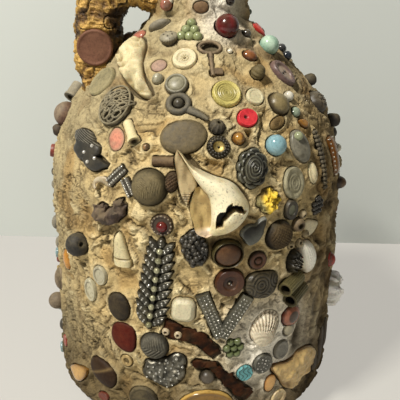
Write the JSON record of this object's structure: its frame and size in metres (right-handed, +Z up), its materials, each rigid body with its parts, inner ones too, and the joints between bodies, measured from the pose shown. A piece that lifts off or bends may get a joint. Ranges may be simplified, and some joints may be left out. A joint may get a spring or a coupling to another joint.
{
  "type": "memory jug",
  "caption": "Handled jug with a narrow open neck, coated in rough putty and covered with embedded buttons, beads, marbles, shells and brooches.",
  "frame": {"origin": "centre of the flat foot, on the surface it stands on", "axes": "+Z up along the jug's axis, the front of the picture faces -Y, the handle is at -X"},
  "size_m": [0.208, 0.2132, 0.297],
  "materials": {
    "stoneware": "brown salt-glazed stoneware",
    "mauve_chip": "dull clay",
    "handle_coat": "crusty bronze-painted putty",
    "glass_dome_button": "worn grey glass",
    "grey_lined_dome": "dull, finely lined",
    "woven_dome_button": "woven, worn",
    "rimmed_brown_dome": "polished",
    "agate_dome": "polished agate",
    "ribbed_dark_dome": "dull dark",
    "carved_dark_dome": "dull carved",
    "left_knob": "dull",
    "back_dome_button": "polished",
    "back_pearl_dome": "pearly",
    "cream_ring_button": "satin",
    "khaki_disc": "dull",
    "yellow_disc": "tarnished",
    "red_button": "glossy",
    "beaded_rosette": "dark tarnish",
    "brown_hole_button": "polished",
    "red_brown_chip": "dull clay",
    "back_rimmed_disc": "tarnished",
    "red_marble": "glossy opaque glass",
    "green_marble": "glossy opaque glass",
    "blue_marble": "glossy opaque glass",
    "left_ball": "dull",
    "back_marble": "glossy opaque glass",
    "grey_oval_stone": "worn smooth",
    "grey_oval_disc": "worn smooth",
    "swirl_oval_button": "satin",
    "framed_pearl_button": "satin",
    "dark_brown_oval": "worn smooth",
    "ochre_oval": "polished",
    "mussel": "shell, satin",
    "white_stone": "white quartz",
    "back_oval_stone": "worn smooth",
    "cockle_shell": "shell, dull",
    "ochre_shell": "shell, dull",
    "back_scallop": "shell, dull",
    "rose_brooch": "carved jet look",
    "white_shell_cluster": "shell, dull",
    "back_flower": "dull moulded",
    "ivory_pipe_stem": "unglazed clay",
    "fluted_tube_upper": "tarnished",
    "fluted_tube_lower": "tarnished",
    "black_bead": "black glass",
    "old_key": "rusty",
    "openwork_button": "blackened openwork",
    "black_comb": "black",
    "shell_fragment": "shell, dull",
    "fern_brooch": "dark studded metal",
    "v_clip": "dark studded metal",
    "bead_brooch": "black glass beads",
    "green_bead_cluster": "sage green glass beads",
    "fan_brooch": "dark studded metal",
    "swirl_square": "dark carved",
    "white_square": "white opaque glass",
    "whelk_shell": "shell, worn",
    "putty_coat": "dull cracked putty"
  },
  "bodies": {
    "root": {"stoneware_jug": "stoneware", "jug_handle": "stoneware", "mauve_chip": "mauve_chip", "handle_coat": "handle_coat", "glass_dome_button": "glass_dome_button", "grey_lined_dome": "grey_lined_dome", "woven_dome_button": "woven_dome_button", "rimmed_brown_dome": "rimmed_brown_dome", "agate_dome": "agate_dome", "ribbed_dark_dome": "ribbed_dark_dome", "carved_dark_dome": "carved_dark_dome", "left_knob": "left_knob", "back_dome_button": "back_dome_button", "back_pearl_dome": "back_pearl_dome", "cream_ring_button": "cream_ring_button", "khaki_disc": "khaki_disc", "yellow_disc": "yellow_disc", "red_button": "red_button", "beaded_rosette": "beaded_rosette", "brown_hole_button": "brown_hole_button", "red_brown_chip": "red_brown_chip", "back_rimmed_disc": "back_rimmed_disc", "red_marble": "red_marble", "green_marble": "green_marble", "blue_marble": "blue_marble", "left_ball": "left_ball", "back_marble": "back_marble", "grey_oval_stone": "grey_oval_stone", "grey_oval_disc": "grey_oval_disc", "swirl_oval_button": "swirl_oval_button", "framed_pearl_button": "framed_pearl_button", "dark_brown_oval": "dark_brown_oval", "ochre_oval": "ochre_oval", "mussel": "mussel", "white_stone": "white_stone", "back_oval_stone": "back_oval_stone", "cockle_shell": "cockle_shell", "ochre_shell": "ochre_shell", "back_scallop": "back_scallop", "rose_brooch": "rose_brooch", "white_shell_cluster": "white_shell_cluster", "back_flower": "back_flower", "ivory_pipe_stem": "ivory_pipe_stem", "fluted_tube_upper": "fluted_tube_upper", "fluted_tube_lower": "fluted_tube_lower", "black_bead": "black_bead", "old_key": "old_key", "openwork_button": "openwork_button", "black_comb": "black_comb", "shell_fragment": "shell_fragment", "fern_brooch": "fern_brooch", "v_clip": "v_clip", "bead_brooch": "bead_brooch", "green_bead_cluster": "green_bead_cluster", "fan_brooch": "fan_brooch", "swirl_square": "swirl_square", "white_square": "white_square", "whelk_shell": "whelk_shell", "putty_coat": "putty_coat"}
  },
  "joints": []
}
